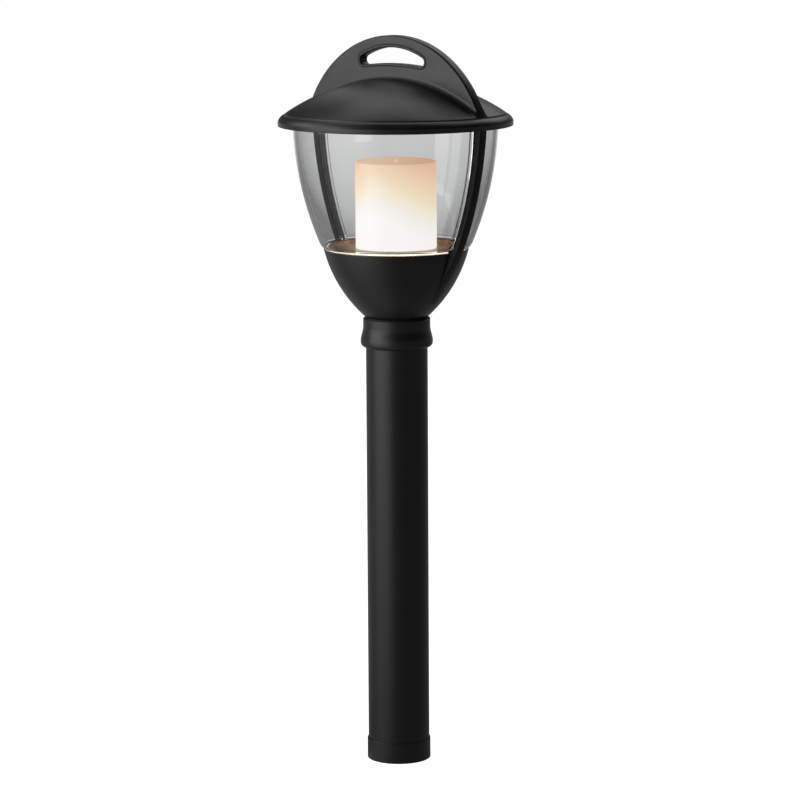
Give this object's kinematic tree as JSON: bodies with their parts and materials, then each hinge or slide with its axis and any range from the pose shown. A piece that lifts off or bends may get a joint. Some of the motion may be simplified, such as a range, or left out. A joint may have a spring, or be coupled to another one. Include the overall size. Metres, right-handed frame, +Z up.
{
  "type": "garden post lantern",
  "caption": "Black garden post lantern: domed hat with carrying arch, clear panes between ribs, candle-shaped lamp, bowl, collar and round post.",
  "frame": {"origin": "middle of the foot's underside, on the post's axis", "axes": "+Z up along the post; the carrying arch and the two lantern ribs lie in the XZ plane"},
  "size_m": [0.1704, 0.1704, 0.535],
  "materials": {
    "black_housing": "satin black with a fine moulded grain",
    "black_post": "satin black powder coat",
    "clear_pane": "clear and glossy, faintly smoked",
    "candle_wax": "lit, translucent wax-like diffuser",
    "reflector": "satin metallic paint that picks up the warm light",
    "rubber": "matt black",
    "cable_sheath": "smooth matt black sheath",
    "screw_steel": "plain stainless",
    "contact_brass": "plain brass",
    "ceramic": "unglazed white",
    "lamp_white": "white moulded",
    "emitter": "yellow phosphor"
  },
  "bodies": {
    "root": {"foot_cap": "black_housing", "foot_screws": "screw_steel", "post_tube": "black_post", "cable_gland": "rubber", "collar": "black_housing", "collar_screws": "screw_steel", "neck_seal": "rubber", "neck_plug": "rubber", "lantern_frame": "black_housing", "pane_gasket": "rubber", "front_pane": "clear_pane", "rear_pane": "clear_pane", "pane_clamp_ring": "black_housing", "clamp_screws": "screw_steel", "lamp_tray": "reflector", "tray_screws": "screw_steel", "lampholder": "ceramic", "lampholder_contacts": "contact_brass", "lampholder_screws": "screw_steel", "terminal_block": "ceramic", "terminal_screws": "contact_brass", "terminal_fixing": "screw_steel", "holder_leads": "cable_sheath", "inner_lead": "cable_sheath", "lead_socket": "rubber", "socket_contacts": "contact_brass"},
    "lamp": {"lamp_base": "lamp_white", "lamp_pins": "screw_steel", "lamp_board": "lamp_white", "lamp_emitters": "emitter"},
    "diffuser": {"candle_diffuser": "candle_wax"},
    "seal": {"hat_seal": "rubber"},
    "hat": {"hat_shell": "black_housing", "hat_handle": "black_housing", "handle_screws": "screw_steel"}
  },
  "joints": [
    {"name": "hat_lift", "type": "slide", "parent": "root", "child": "seal", "axis": [0, 0, 1], "range_m": [0, 0.12]},
    {"name": "hat_twist", "type": "hinge", "parent": "seal", "child": "hat", "pos_m": [0, 0, 0.472], "axis": [0, 0, 1], "range_deg": [0, 25]},
    {"name": "diffuser_lift", "type": "slide", "parent": "root", "child": "diffuser", "axis": [0, 0, 1], "range_m": [0, 0.04]},
    {"name": "lamp_pull", "type": "slide", "parent": "root", "child": "lamp", "axis": [0, 0, 1], "range_m": [0, 0.012]}
  ]
}
